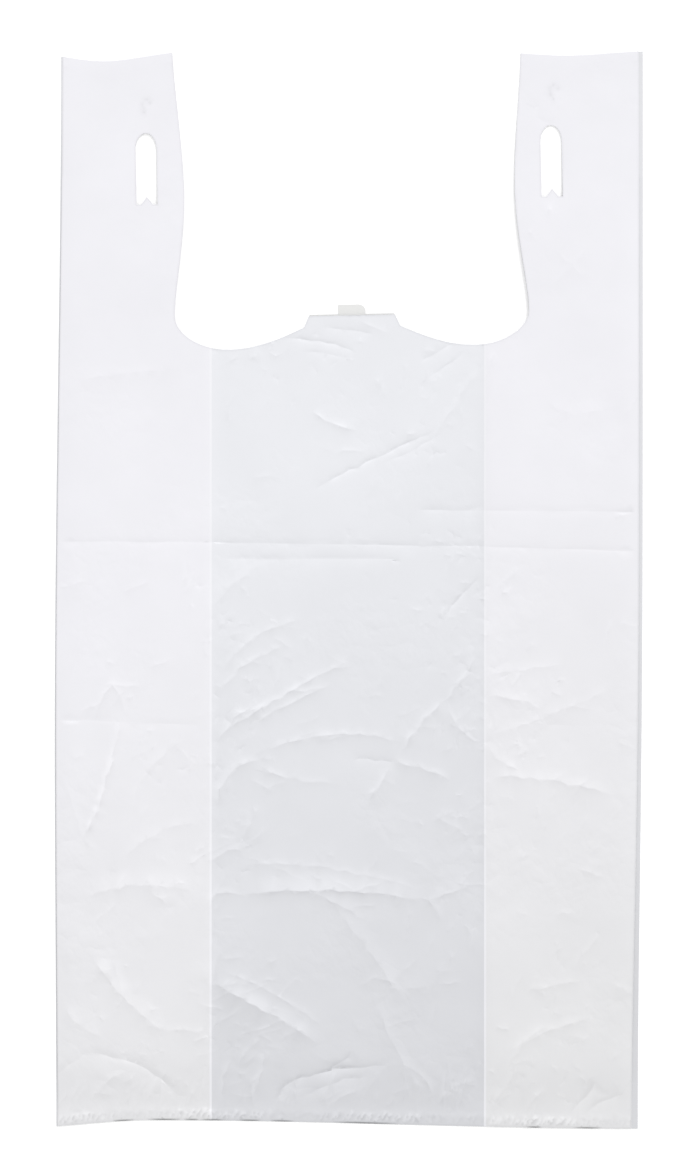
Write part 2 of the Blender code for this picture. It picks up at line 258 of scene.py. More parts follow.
LEFT_CREASES = (
    ((-137, 145), (-125, 176), (-116, 212), 1.6, 1.6, 0.54),
    ((-114, 212), (-121, 226), (-130, 209), 1.6, 1.6, 0.30),
    ((-126, 226), (-116, 226), (-106, 225), 1.4, 1.4, 0.24),
    ((-137, 117), (-110, 124), (-75, 121), 5.5, 2.8, 0.34),
    ((-134, 90), (-117, 69), (-92, 47), 5.0, 3.0, 0.42),
    ((-140, 38), (-110, 31), (-83, 10), 2.6, 1.6, -0.42),
    ((-104, 53), (-88, 50), (-73, 50), 2.0, 2.2, 0.30),
    ((-119, 135), (-95, 152), (-75, 156), 2.6, 2.0, 0.20),
    ((-111, 165), (-101, 185), (-81, 200), 2.8, 2.0, 0.20),
    ((-147, 178), (-140, 160), (-138, 146), 2.2, 2.2, 0.16),
    ((-146, 62), (-138, 52), (-126, 46), 2.6, 2.6, 0.26),
    ((-132, 12), (-124, 22), (-110, 28), 2.4, 2.4, 0.26),
    ((-104, 10), (-98, 20), (-92, 28), 2.0, 2.0, 0.24),
    ((-142, 382), (-116, 385), (-84, 388), 3.0, 2.0, 0.12),
)
RIGHT_CREASES = (
    ((71, 232), (87, 234), (112, 237), 2.4, 1.4, 0.24),
    ((72, 201), (104, 211), (140, 227), 2.4, 1.4, 0.26),
    ((71, 221), (87, 219), (100, 214), 3.0, 1.8, 0.34),
    ((71, 179), (102, 178), (143, 169), 3.0, 2.0, 0.42),
    ((71, 196), (77, 188), (88, 183), 2.8, 1.8, 0.28),
    ((93, 70), (107, 73), (124, 76), 2.2, 1.6, 0.30),
    ((81, 38), (104, 50), (131, 57), 2.6, 2.2, 0.32),
    ((82, 30), (93, 46), (104, 53), 2.0, 2.2, 0.24),
    ((117, 8), (124, 15), (131, 24), 1.4, 3.0, -0.56),
    ((125, 8), (134, 14), (146, 17), 1.2, 3.2, -0.56),
    ((116, 82), (124, 90), (131, 98), 2.2, 2.0, 0.18),
    ((74, 10), (82, 22), (86, 33), 2.0, 2.0, 0.26),
    ((92, 8), (98, 16), (104, 20), 1.8, 1.8, 0.22),
    ((90, 524), (95, 522), (99, 523), 0.7, 1.0, -0.24),
    ((96, 518), (102, 515), (109, 513), 0.9, 1.2, -0.18),
    ((106, 449), (114, 441), (124, 431), 1.6, 1.6, 0.10),
    ((124, 450), (116, 441), (107, 430), 1.6, 1.6, 0.10),
    ((100, 372), (116, 365), (136, 368), 5.0, 4.0, 0.16),
)

# Wrinkles run in short straight stretches, with a sharp crest on a broad low apron
PATH_STEP = 0.004
PATH_CELLS_MIN = 4
KINK = 0.0006
UNEVENNESS = (0.5, 1.2)
TAPER = 0.22
CREST_SHARE = 1.2
APRON_SHARE = 0.6
APRON_REACH = 3.2
WRINKLE_MARGIN = 0.0005

# Painted highlight and painted shade along each fold: paler in an even band above its line, as a lit flank,
# and darker in an edge below it, as a shaded flank
BAND_START = 0.5
BAND_FADE = 1.5
DARK_SHARE = 0.9
DARK_REACH = 0.8
SHADE_PER_METRE = 110
SHADE_LIMITS = (-0.13, 0.09)

# Weaker wrinkles that fork off the chosen creases where the film is lively, as shares of them
FORKS_PER_METRE = 28
FORK_LENGTH = (0.15, 0.36)
FORK_ANGLE = (math.radians(8), math.radians(38))
FORK_RISE = (0.30, 0.60)
FORK_REACH = 0.7

# Small crumples anywhere, and puckers that rise from the bottom weld
WRINKLE_SEED = 11
CRUMPLE_COUNT = 620
CRUMPLE_LENGTH = (0.004, 0.018)
CRUMPLE_REACH = (0.0005, 0.0014)
CRUMPLE_RISE = (0.00004, 0.00018)
CRUMPLE_HEADING = (math.radians(-30), math.radians(80))
PUCKER_COUNT = 46
PUCKER_START = (0.0050, 0.0110)
PUCKER_LENGTH = (0.008, 0.026)
PUCKER_RISE = (0.00006, 0.00020)
PUCKER_LEAN = (math.radians(-10), math.radians(35))

# Knots of tiny wrinkles in millimetres: across, height, reach of the knot, and how many
CRUMPLED_SPOTS = (
    (-62, 258, 9, 26),
    (-58, 214, 10, 24),
    (-64, 186, 8, 16),
    (52, 268, 10, 26),
    (58, 232, 9, 22),
    (60, 200, 8, 20),
    (30, 302, 14, 16),
    (56, 300, 9, 14),
    (40, 352, 14, 18),
    (-20, 396, 16, 16),
    (44, 386, 10, 14),
    (-55, 392, 10, 10),
    (-62, 144, 9, 20),
    (58, 152, 8, 18),
    (56, 116, 8, 12),
    (-62, 40, 9, 16),
    (56, 20, 9, 16),
    (-96, 128, 12, 22),
    (-92, 186, 14, 18),
    (-120, 70, 14, 14),
    (-88, 14, 10, 16),
    (94, 214, 14, 22),
    (84, 188, 9, 16),
    (104, 160, 14, 10),
    (112, 68, 13, 16),
    (126, 24, 13, 22),
    (88, 16, 10, 16),
)
SPOT_HEADING = (math.radians(-60), math.radians(100))
SPOT_LENGTH = (0.0025, 0.0080)
SPOT_REACH = (0.0004, 0.0010)
SPOT_RISE = (0.00005, 0.00016)

# Broad flat facets of the crumpled film, between seeded corners
FACET_SEED = 5
FACET_CORNERS = 230
FACET_RISE = 0.00024
FACET_BORDER_ACROSS = 8
FACET_BORDER_ALONG = 14

# How crumpled the film is at its calmest and at its liveliest, at the sides and in the centre,
# and where it turns from calm to lively on the way down
CALM_SIDE, LIVELY_SIDE = 0.05, 0.62
CALM_CENTRE, LIVELY_CENTRE = 0.40, 1.0
CALM_START = 0.38
CALM_RUN = 0.30

# Mesh fineness. Points lie on a fine lattice, and calm places keep only some of them.
LATTICE_STEP = 0.00105
COARSE_EVERY = 4
MEDIUM_EVERY = 2
MEDIUM_BEND = 0.000006
FINE_BEND = 0.000026
LINE_CLEARANCE = 0.00035
FOLD_LINE_WIDTH = 0.0011
SHARP_ANGLE = math.radians(40)

# Triangulation: its output kind, and its loops, which are a panel's border and then the die's cuts
HULL_TRIANGLES = 0
BORDER_LOOP, TEAR_LOOP = range(2)

# Worked out from the sizes above
HALF_WIDTH = FACE_WIDTH / 2
HALF_LENGTH = BAG_LENGTH / 2
FOLD_X = HALF_WIDTH - GUSSET_DEPTH
LINE_X = FOLD_X - FOLD_LINE_WIDTH
SCOOP_LOW = BAG_LENGTH - MOUTH_DEPTH
MOUTH_HALF = MOUTH_WIDTH / 2
WRINKLE_LOW = (WRINKLE_MARGIN - HALF_WIDTH, WRINKLE_MARGIN)
WRINKLE_HIGH = (HALF_WIDTH - WRINKLE_MARGIN, BAG_LENGTH - WRINKLE_MARGIN)
FOUR_LAYER_SLOT, TWO_LAYER_SLOT, FOLD_HIGHLIGHT_SLOT, ONE_LAYER_SLOT, GUSSET_SLOT = range(5)

# Panels round the tube: layer from the ground up, sides, and the fold that leads to the next
BACK, INNER_GUSSET, OUTER_GUSSET, FRONT = range(4)
PANELS = (
    (FRONT, -HALF_WIDTH, HALF_WIDTH, HALF_WIDTH),
    (OUTER_GUSSET, FOLD_X, HALF_WIDTH, FOLD_X),
    (INNER_GUSSET, FOLD_X, HALF_WIDTH, HALF_WIDTH),
    (BACK, -HALF_WIDTH, HALF_WIDTH, -HALF_WIDTH),
    (INNER_GUSSET, -HALF_WIDTH, -FOLD_X, -FOLD_X),
    (OUTER_GUSSET, -HALF_WIDTH, -FOLD_X, -HALF_WIDTH),
)

# Film colours at the handles and at the bottom, which pale as more layers lie on each other; each bottom
# colour is darker as painted shade, as light falling off towards the bottom right would leave it, and the
# fold line's film is paler as a painted highlight along the inner folds. Then where along the slanted
# painted shade the change starts, and the fine crumpling at the handles and lower down
FILMS = (
    ("film_four_layers", (0.880, 0.876, 0.916), (0.782, 0.782, 0.794), 0.03, 0.25, 0.8),
    ("film_two_layers", (0.840, 0.848, 0.883), (0.690, 0.696, 0.725), 0.06, 0.45, 0.7),
    ("film_fold_painted_highlight", (0.900, 0.900, 0.934), (0.850, 0.850, 0.882), 0.03, 0.0, 0.0),
    ("film_one_layer", (0.835, 0.835, 0.826), (0.835, 0.835, 0.826), 0.03, 0.3, 0.3),
    ("film_inner_gusset", (0.765, 0.770, 0.795), (0.672, 0.676, 0.698), 0.03, 0.3, 0.6),
)
# Painted shade that darkens the film towards the bottom right, as light falling off would: where its fade
# ends, and its slant
PAINTED_SHADE_END = -0.25
PAINTED_SHADE_TILT = math.radians(20)

# Film surface: each noise is its scale and detail, and a range is the part of a noise that counts
NOISE_RANGE = (0.3, 0.7)
NOISE_MIDDLE = 0.5
CLOUD_NOISE = (38, 4)
CLOUD_SHADE = 0.978
GLOSS_NOISE = (55, 3)
ROUGHNESS_RANGE = (0.34, 0.48)
PATCH_NOISE = (18, 2)
PATCH_RANGE = (0.46, 0.62)
PATCH_CALM = 0.06
DRAW_LINE_LENGTHS = (1 / 420, 1 / 9, 1)
DRAW_LINE_NOISE = (1, 2)
DRAW_LINE_STRENGTH = 0.2
DRAW_LINE_DEPTH = 0.00005

# Fine folds in the relief: scale, lengths across and along the heading, heading and depth
FOLD_NOISE_DETAIL = 2.5
FINE_FOLDS = (
    (40, (1.3, 0.9, 1), math.radians(32), 0.0015),
    (85, (1.2, 0.9, 1), math.radians(-48), 0.0007),
)

# Camera straight above, framing the photograph's field
IMAGE_HEIGHT = 0.58775
LENS_MM = 100
SENSOR_MM = 36
CAMERA_X = -0.0040
CAMERA_Y = 0.0069

# Studio
FLOOR_SIZE = 6.0
FLOOR_DROP = 0.0002
FLOOR_COLOUR = (0.86, 0.86, 0.86, 1.0)
FLOOR_GLOW = 0.30
WORLD_STRENGTH = 0.76
SUN_PLACE = (0.8, 2.6, 1.5)
SUN_STRENGTH = 1.66
SUN_ANGLE = math.radians(18)


def smooth_step(value):
    """Eased ramp from 0 at 0 to 1 at 1."""
    value = np.clip(value, 0.0, 1.0)
    return value * value * (3 - 2 * value)


def bump(distance, width):
    """Bell of height 1 that is gone at about twice its width."""
    return np.exp(-(distance / width) ** 2)


def spread(start, end, cells):
    """Evenly spaced values from start to end, both included."""
    return [start + (end - start) * index / cells for index in range(cells + 1)]


def film_x(x, height, layer):
    """Where points of the film lie across the bag once its sides have pulled in."""
    side_share = np.maximum(abs(x) - FOLD_X, 0.0) / GUSSET_DEPTH
    to_bottom = bump(height, BOTTOM_PULL_SPREAD)
    to_top = bump(BAG_LENGTH - height, TOP_PULL_SPREAD)
    on_front = np.where(layer > INNER_GUSSET, 1, 0)
    left = LEFT_TOP_PULL * to_top + LEFT_BOTTOM_PULL * to_bottom + on_front * LEFT_FRONT_DRAW
    front_draw = RIGHT_FRONT_DRAW + RIGHT_FRONT_DRAW_LOW * bump(height, RIGHT_FRONT_DRAW_SPREAD)
    right = RIGHT_BOTTOM_PULL * to_bottom + on_front * front_draw
    return x + side_share * np.where(x > 0, -right, left)


def film_y(x, height):
    """Where points of the film lie along the bag, with the rises and dips of its ends."""
    from_left = x + HALF_WIDTH
    from_right = HALF_WIDTH - x
    climbed = (from_left - BOTTOM_RISE_INSET) / BOTTOM_RISE_CLIMB
    fallen = (from_left - BOTTOM_RISE_INSET - BOTTOM_RISE_CLIMB) / BOTTOM_RISE_FALL
    rise = BOTTOM_RISE * smooth_step(climbed) * (1 - smooth_step(fallen))
    dip = LEFT_TOP_DIP * bump(from_left - LEFT_TOP_DIP_INSET, TOP_DIP_SPREAD)
    dip = dip + RIGHT_TOP_DIP * bump(from_right - RIGHT_TOP_DIP_INSET, TOP_DIP_SPREAD)
    at_bottom = 1 - smooth_step(height / END_EASE)
    at_top = 1 - smooth_step((BAG_LENGTH - height) / END_EASE)
    return height + rise * at_bottom - dip * at_top - HALF_LENGTH


def weld_freedom(height):
    """0 on a weld and beyond it, rising to 1 where the layers part freely."""
    from_bottom = (height - BOTTOM_WELD_INSET - WELD_WIDTH) / BOTTOM_WELD_EASE
    from_top = (BAG_LENGTH - TOP_WELD_INSET - WELD_WIDTH - height) / TOP_WELD_EASE
    return smooth_step(from_bottom) * smooth_step(from_top)


def restlessness(x, height):
    """How crumpled the film is: calm at the handles and sides, lively in the middle and low down."""
    side = smooth_step((abs(x) - LINE_X) / FOLD_STEP_RUN)
    calm = CALM_CENTRE + (CALM_SIDE - CALM_CENTRE) * side
    lively = LIVELY_CENTRE + (LIVELY_SIDE - LIVELY_CENTRE) * side
    return calm + (lively - calm) * smooth_step((CALM_START - height) / CALM_RUN)


class Wrinkle(NamedTuple):
    """A fold line in the film: its path, the reach of its two flanks, and its rise at each point."""

    path: np.ndarray
    above: float
    below: float
    rises: np.ndarray


def make_wrinkle(path, above, below, rise, chance, taper=TAPER, kink=KINK):
    """A wrinkle on a path, kinked and uneven by chance, that fades out at both ends."""
    kinks = [(chance.uniform(-kink, kink), chance.uniform(-kink, kink)) for _ in path]
    share = np.linspace(0, 1, len(path))
    fade = smooth_step(share / taper) * smooth_step((1 - share) / taper)
    rises = rise * fade * [chance.uniform(*UNEVENNESS) for _ in path]
    return Wrinkle(np.clip(path + np.array(kinks), WRINKLE_LOW, WRINKLE_HIGH), above, below, rises)


def path_shares(length, step=PATH_STEP):
    """Shares along a path of this length, one for each of its points, as a column."""
    cells = max(PATH_CELLS_MIN, round(length / step))
    return np.linspace(0, 1, cells + 1)[:, None]


def curved_path(start, middle, end):
    """Points in metres along the curve that runs from start through middle to end."""
    start, middle, end = (np.array(point) * MM for point in (start, middle, end))
    control = 2 * middle - (start + end) / 2
    share = path_shares(math.dist(start, end))
    return (1 - share) ** 2 * start + 2 * share * (1 - share) * control + share ** 2 * end


def straight_path(start, heading, length):
    """Points along a straight line."""
    return start + path_shares(length) * length * np.array((math.cos(heading), math.sin(heading)))


def chosen_creases(chance):
    """The creases that are listed one by one, each with its forks."""
    found = []
    for start, middle, end, above, below, rise in CENTRE_CREASES + LEFT_CREASES + RIGHT_CREASES:
        path = curved_path(start, middle, end)
        crease = make_wrinkle(path, above * MM, below * MM, rise * MM, chance)
        found.append(crease)
        unrest = restlessness(*path[len(path) // 2])
        forks = int(FORKS_PER_METRE * unrest * math.dist(path[0], path[-1]))
        found += [fork(crease, rise * MM, chance) for _ in range(forks)]
    return found


def fork(crease, rise, chance):
    """A weaker wrinkle that leaves a crease at one of its inner points."""
    index = chance.randrange(1, len(crease.path) - 1)
    run = crease.path[index + 1] - crease.path[index - 1]
    heading = math.atan2(run[1], run[0]) + chance.choice((-1, 1)) * chance.uniform(*FORK_ANGLE)
    heading += chance.choice((0, math.pi))
    length = math.dist(crease.path[0], crease.path[-1]) * chance.uniform(*FORK_LENGTH)
    path = straight_path(crease.path[index], heading, length)
    above, below = crease.above * FORK_REACH, crease.below * FORK_REACH
    return make_wrinkle(path, above, below, rise * chance.uniform(*FORK_RISE), chance)


def packing_creases(chance):
    """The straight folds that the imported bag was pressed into."""
    found = []
    for start, end, reach, drop in PACK_FOLDS:
        start, end = np.array(start) * MM, np.array(end) * MM
        path = start + path_shares(math.dist(start, end), PACK_FOLD_STEP) * (end - start)
        reach = reach * MM
        found.append(make_wrinkle(path, reach, reach, -drop * MM, chance, PACK_FOLD_TAPER, SMALL_KINK))
    return found


@cache
def pin_marks():
    """The open rings that the pack's hot pins left in the handles."""
    chance = random.Random(PIN_MARK_SEED)
    angles = np.linspace(PIN_MARK_START, PIN_MARK_END, PIN_MARK_CELLS + 1)
    around = np.stack([PIN_MARK_WIDTH / 2 * np.cos(angles), PIN_MARK_LENGTH / 2 * np.sin(angles)], axis=1)
    form = PIN_MARK_REACH, PIN_MARK_REACH, -PIN_MARK_DROP, chance, PIN_MARK_TAPER, SMALL_KINK
    return [make_wrinkle(place + around, *form) for place in PIN_MARKS]


def crumples(chance):
    """Small wrinkles at places by chance, the more the less calm the film is there."""
    found = []
    for _ in range(CRUMPLE_COUNT):
        x, height = chance.uniform(-HALF_WIDTH, HALF_WIDTH), chance.uniform(0, BAG_LENGTH)
        path = straight_path((x, height), chance.uniform(*CRUMPLE_HEADING), chance.uniform(*CRUMPLE_LENGTH))
        above, below = chance.uniform(*CRUMPLE_REACH), chance.uniform(*CRUMPLE_REACH)
        rise = chance.uniform(*CRUMPLE_RISE)
        if chance.random() < restlessness(x, height):
            found.append(make_wrinkle(path, above, below, rise, chance))
    return found


def crumpled_spots(chance):
    """Knots of tiny wrinkles where the film was gripped or creases meet."""
    found = []
    for across, along, spot_reach, count in CRUMPLED_SPOTS:
        for _ in range(count):
            place = chance.gauss(across, spot_reach) * MM, chance.gauss(along, spot_reach) * MM
            path = straight_path(place, chance.uniform(*SPOT_HEADING), chance.uniform(*SPOT_LENGTH))
            above, below = chance.uniform(*SPOT_REACH), chance.uniform(*SPOT_REACH)
            rise = chance.choice((-1, 1)) * chance.uniform(*SPOT_RISE)
            found.append(make_wrinkle(path, above, below, rise, chance))
    return found


def puckers(chance):
    """Short upright wrinkles where the bottom weld gathers the film."""
    found = []
    for _ in range(PUCKER_COUNT):
        start = chance.uniform(-HALF_WIDTH, HALF_WIDTH), chance.uniform(*PUCKER_START)
        heading = math.pi / 2 - chance.uniform(*PUCKER_LEAN)
        path = straight_path(start, heading, chance.uniform(*PUCKER_LENGTH))
        above, below = chance.uniform(*CRUMPLE_REACH), chance.uniform(*CRUMPLE_REACH)
        found.append(make_wrinkle(path, above, below, chance.uniform(*PUCKER_RISE), chance))
    return found


@cache
def wrinkles():
    """Every wrinkle of the front panel that the welds hold down."""
    chance = random.Random(WRINKLE_SEED)
    chosen = chosen_creases(chance) + packing_creases(chance) + pin_marks()
    return chosen + crumples(chance) + crumpled_spots(chance) + puckers(chance)


@cache
def skirt_strokes():
    """Fine diagonal wrinkles that crimp the skirt below the bottom weld."""
    chance = random.Random(STROKE_SEED)
    found = []
    for x in spread(-HALF_WIDTH, HALF_WIDTH, round(FACE_WIDTH / STROKE_PITCH)):
        start = x + chance.uniform(-STROKE_REACH, STROKE_REACH), chance.uniform(*STROKE_START)
        path = straight_path(start, chance.uniform(*STROKE_HEADING), chance.uniform(*STROKE_LENGTH))
        patch = (1 + STROKE_PATCH_DEPTH * math.cos(math.tau * (x + HALF_WIDTH) / STROKE_PATCH)) / 2
        rise = patch * chance.uniform(*STROKE_RISE)
        found.append(make_wrinkle(path, STROKE_REACH, STROKE_REACH, rise, chance, TAPER, SMALL_KINK))
    return found


def nearest_on_path(x, height, path):
    """Signed distance from a path, positive above it, and the number of the path's point there."""
    nearest = np.full(x.shape, np.inf)
    signed = np.zeros(x.shape)
    place = np.zeros(x.shape)
    for index, (low, high) in enumerate(zip(path, path[1:])):
        run_x, run_y = high - low
        reach = ((x - low[0]) * run_x + (height - low[1]) * run_y) / max(run_x ** 2 + run_y ** 2, TINY ** 2)
        reach = np.clip(reach, 0, 1)
        off_x = x - low[0] - reach * run_x
        off_y = height - low[1] - reach * run_y
        distance = np.hypot(off_x, off_y)
        closer = distance < nearest
        leftward = (run_x * off_y - run_y * off_x) * (1 if run_x >= 0 else -1)
        nearest = np.where(closer, distance, nearest)
        signed = np.where(closer, np.where(leftward < 0, -distance, distance), signed)
        place = np.where(closer, index + reach, place)
    return signed, place


def near(x, height, path, margin):
    """Which points lie within a margin of the box around a path."""
    low, high = path.min(axis=0) - margin, path.max(axis=0) + margin
    return (x > low[0]) & (x < high[0]) & (height > low[1]) & (height < high[1])


def crest(signed, above, below):
    """Profile of a fold: a sharp crest between unlike flanks, on a broad low apron."""
    reach = np.where(signed > 0, above, below)
    sharp = np.exp(-abs(signed) / (CREST_SHARE * reach))
    return (sharp + APRON_SHARE * bump(signed, APRON_REACH * reach)) / (1 + APRON_SHARE)


def painted_shading(signed, above, below):
    """Painted highlight and painted shade of a fold: a pale even band above its line and a dark edge below
    it.
    """
    pale = 1 - smooth_step((signed / above - BAND_START) / BAND_FADE)
    dark = DARK_SHARE * np.exp(-abs(signed) / (DARK_REACH * below))
    return np.where(signed >= 0, pale, -dark)


def wrinkle_sum(x, height, chosen, profile):
    """Sum over wrinkles of a profile across each, times its rise there."""
    total = np.zeros(x.shape)
    for wrinkle in chosen:
        close = near(x, height, wrinkle.path, 2 * APRON_REACH * max(wrinkle.above, wrinkle.below))
        signed, place = nearest_on_path(x[close], height[close], wrinkle.path)
        rise = np.interp(place, np.arange(len(wrinkle.path)), wrinkle.rises)
        total[close] += rise * profile(signed, wrinkle.above, wrinkle.below)
    return total


def wrinkle_relief(x, height):
    """How far the wrinkles lift the front panel."""
    free = wrinkle_sum(x, height, wrinkles(), crest)
    return free * crease_freedom(height) + wrinkle_sum(x, height, skirt_strokes(), crest)


def painted_gap_shadow_share(x, height):
    """1 in the middle of each painted gap shadow at the bottom edge, 0 outside them."""
    total = np.zeros(x.shape)
    for middle, half in PAINTED_GAP_SHADOWS:
        total += np.clip(1 - ((x - middle * MM) / (half * MM)) ** 2, 0, 1)
    return total * (1 - smooth_step(height / PAINTED_GAP_SHADOW_HEIGHT))


def edge_distance(x, height):
    """How far points of the front panel lie from its cuts and outer folds, as far as matters."""
    distance = np.minimum(HALF_WIDTH - abs(x), height)
    for outline in die_outlines():
        path = np.stack(unfold(*outline.T, FRONT), axis=1)
        path = np.concatenate([path, path[:1]])
        close = near(x, height, path, EDGE_BAND)
        signed, _ = nearest_on_path(x[close], height[close], path)
        distance[close] = np.minimum(distance[close], abs(signed))
    return distance


def front_painted_shading(x, height):
    """How much paler or darker than plain film the front panel is painted, as a share: painted highlights
    and shade along its folds and skirt strokes, painted shade in its pin rings, along its cuts and in the
    gaps at its bottom edge, and darker film below the bottom weld.
    """
    # Painted highlights and painted shade along the folds and the skirt strokes
    folds = wrinkle_sum(x, height, wrinkles(), painted_shading)
    painted_stroke_shading = STROKE_PAINTED_SHADING * wrinkle_sum(x, height, skirt_strokes(), painted_shading)
    level = np.clip(SHADE_PER_METRE * (folds + painted_stroke_shading), *SHADE_LIMITS)
    # Painted shade that darkens the pressed pin rings
    level += PIN_MARK_PAINTED_SHADE * wrinkle_sum(x, height, pin_marks(), crest) / PIN_MARK_DROP
    level -= SKIRT_SHADE * (1 - smooth_step((height - BOTTOM_WELD_INSET) / WELD_WIDTH))
    # Painted shade in a thin line along the cuts and outer folds
    painted_edge_shade = 1 - smooth_step(edge_distance(x, height) / EDGE_LINE_REACH)
    # Painted shadow in the gaps where the layers part at the bottom edge
    return level - EDGE_LINE_PAINTED_SHADE * painted_edge_shade - PAINTED_GAP_SHADOW_STRENGTH * painted_gap_shadow_share(x, height)


@cache
def facet_net():
    """Corners of the facets as (across, height, rise), and the triangles between them."""
    chance = random.Random(FACET_SEED)
    (low_x, low), (high_x, high) = WRINKLE_LOW, WRINKLE_HIGH
    corners = []
    for x in spread(low_x, high_x, FACET_BORDER_ACROSS):
        corners += [(x, low, 0.0), (x, high, 0.0)]
    for height in spread(low, high, FACET_BORDER_ALONG)[1:-1]:
        corners += [(low_x, height, 0.0), (high_x, height, 0.0)]
    wanted = len(corners) + FACET_CORNERS
    while len(corners) < wanted:
        x, height = chance.uniform(low_x, high_x), chance.uniform(low, high)
        unrest = restlessness(x, height)
        if chance.random() < unrest:
            corners.append((x, height, FACET_RISE * unrest ** 2 * chance.random()))
    flat = [Vector(place[:2]) for place in corners]
    _, _, triangles, sources, _, _ = delaunay_2d_cdt(flat, [], [], HULL_TRIANGLES, TINY)
    return np.array([corners[numbers[0]] for numbers in sources]), triangles


def facets(x, height):
    """How far the broad facets lift the front panel."""
    total = np.zeros(x.shape)
    corners, triangles = facet_net()
    for triangle in triangles:
        first, second, third = corners[list(triangle)]
        close = near(x, height, corners[list(triangle), :2], TINY)
        sides = np.array([second[:2] - first[:2], third[:2] - first[:2]]).T
        offset = np.array([x[close] - first[0], height[close] - first[1]])
        share, other = np.linalg.solve(sides, offset)
        inside = (share >= -TINY) & (other >= -TINY) & (share + other <= 1 + TINY)
        rise = first[2] + share * (second[2] - first[2]) + other * (third[2] - first[2])
        total[close] = np.where(inside, rise, total[close])
    return total


def clear_of_crests(x, height):
    """Which points keep their distance from the crest of every wrinkle."""
    clear = np.full(x.shape, True)
    for wrinkle in wrinkles() + skirt_strokes():
        close = near(x, height, wrinkle.path, LINE_CLEARANCE)
        signed, _ = nearest_on_path(x[close], height[close], wrinkle.path)
        clear[close] &= abs(signed) > LINE_CLEARANCE
    return clear


def lift(x, height):
    """How far the front panel stands off the back one, before its creases."""
    waves = np.cos(math.tau * x / BILLOW_ACROSS) * np.cos(math.tau * height / BILLOW_ALONG)
    return (FRONT_LIFT + BILLOW * waves) * (EDGE_SHARE + (1 - EDGE_SHARE) * edge_freedom(x))


def edge_freedom(x):
    """0 on the outer folds, rising to 1 a little way in."""
    return smooth_step((HALF_WIDTH - abs(x)) / EDGE_EASE)


def crease_freedom(height):
    """0 on a weld, rising to 1 a little way off, so that puckers start at the weld."""
    from_bottom = (height - BOTTOM_WELD_INSET) / CREASE_WELD_EASE
    from_top = (BAG_LENGTH - TOP_WELD_INSET - height) / CREASE_WELD_EASE
    return smooth_step(from_bottom) * smooth_step(from_top)


def front_detail(x, height):
    """Wrinkles and facets of the front panel, gone at its outer folds."""
    return (wrinkle_relief(x, height) + facets(x, height) * crease_freedom(height)) * edge_freedom(x)


def weld_ribs(height):
    """The pressed line that each weld leaves in every layer."""
    bottom = bump(height - BOTTOM_WELD_INSET, WELD_WIDTH)
    top = bump(BAG_LENGTH - TOP_WELD_INSET - height, WELD_WIDTH)
    return WELD_RIB * (bottom + top)


def layer_z(x, height, layer, detail):
    """Middle of a film layer above the ground, from layer 0 at the back to 3 at the front."""
    free = weld_freedom(height)
    gap = WELD_GAP + (LAYER_GAP - WELD_GAP) * free
    inside = smooth_step((FOLD_X - abs(x)) / FOLD_STEP_RUN)
    stack = np.where(layer == FRONT, FRONT - (FRONT - 1) * inside, layer)
    rise = lift(x, height) * free + weld_ribs(height)
    place = FILM / 2 + stack * gap + layer / FRONT * rise + detail
    if layer < FRONT:
        return place
    under = FILM / 2 + (stack - 1) * gap + (1 - inside) * OUTER_GUSSET / FRONT * rise
    return np.maximum(place, under + WELD_GAP)


def film_points(x, height, layer, draw_back):
    """World places of points of one layer's middle surface."""
    detail = front_detail(x, height) if layer == FRONT else 0.0
    place_x = film_x(x, height, layer) + draw_back * LAYER_GAP / 2
    return np.stack([place_x, film_y(x, height), layer_z(x, height, layer, detail)], axis=-1)


def unfold(place_x, place_y, layer):
    """Film coordinates of world places, found by stepping back from them."""
    x, height = place_x, place_y + HALF_LENGTH
    for _ in range(UNFOLD_STEPS):
        x, height = x + place_x - film_x(x, height, layer), height + place_y - film_y(x, height)
    return x, height


def levels(cells):
    """How fine each line of an even lattice is: 0 on coarse lines, 1 on medium, 2 between."""
    return [0 if i % COARSE_EVERY == 0 else 1 if i % MEDIUM_EVERY == 0 else 2 for i in range(cells + 1)]


def lattice_cells(length):
    """Number of fine cells along a length, as whole coarse cells."""
    return COARSE_EVERY * round(length / LATTICE_STEP / COARSE_EVERY)


def lattice_columns():
    """Places across the front panel from left to right, with the level of each."""
    side_cells = lattice_cells(GUSSET_DEPTH)
    centre_cells = lattice_cells(2 * LINE_X)
    places = spread(-HALF_WIDTH, -FOLD_X, side_cells) + spread(-LINE_X, LINE_X, centre_cells)
    places += spread(FOLD_X, HALF_WIDTH, side_cells)
    return np.array(places), np.array(levels(side_cells) + levels(centre_cells) + levels(side_cells))


def lattice_rows():
    """Heights along the bag, with the level of each."""
    cells = lattice_cells(BAG_LENGTH)
    return np.array(spread(0.0, BAG_LENGTH, cells)), np.array(levels(cells))


def bend_of(detail):
    """How sharply the detail bends at each lattice point, as its larger second difference."""
    padded = np.pad(detail, 1, mode="edge")
    middle = 2 * detail
    across = abs(padded[1:-1, 2:] + padded[1:-1, :-2] - middle)
    along = abs(padded[2:, 1:-1] + padded[:-2, 1:-1] - middle)
    return np.maximum(across, along)


def line_edges(x, height, places):
    """Edges that join the points of each upright line, from the bottom up."""
    edges = []
    for place in places:
        line = np.flatnonzero(abs(x - place) < TINY)
        line = line[np.argsort(height[line])].tolist()
        edges += zip(line, line[1:])
    return edges


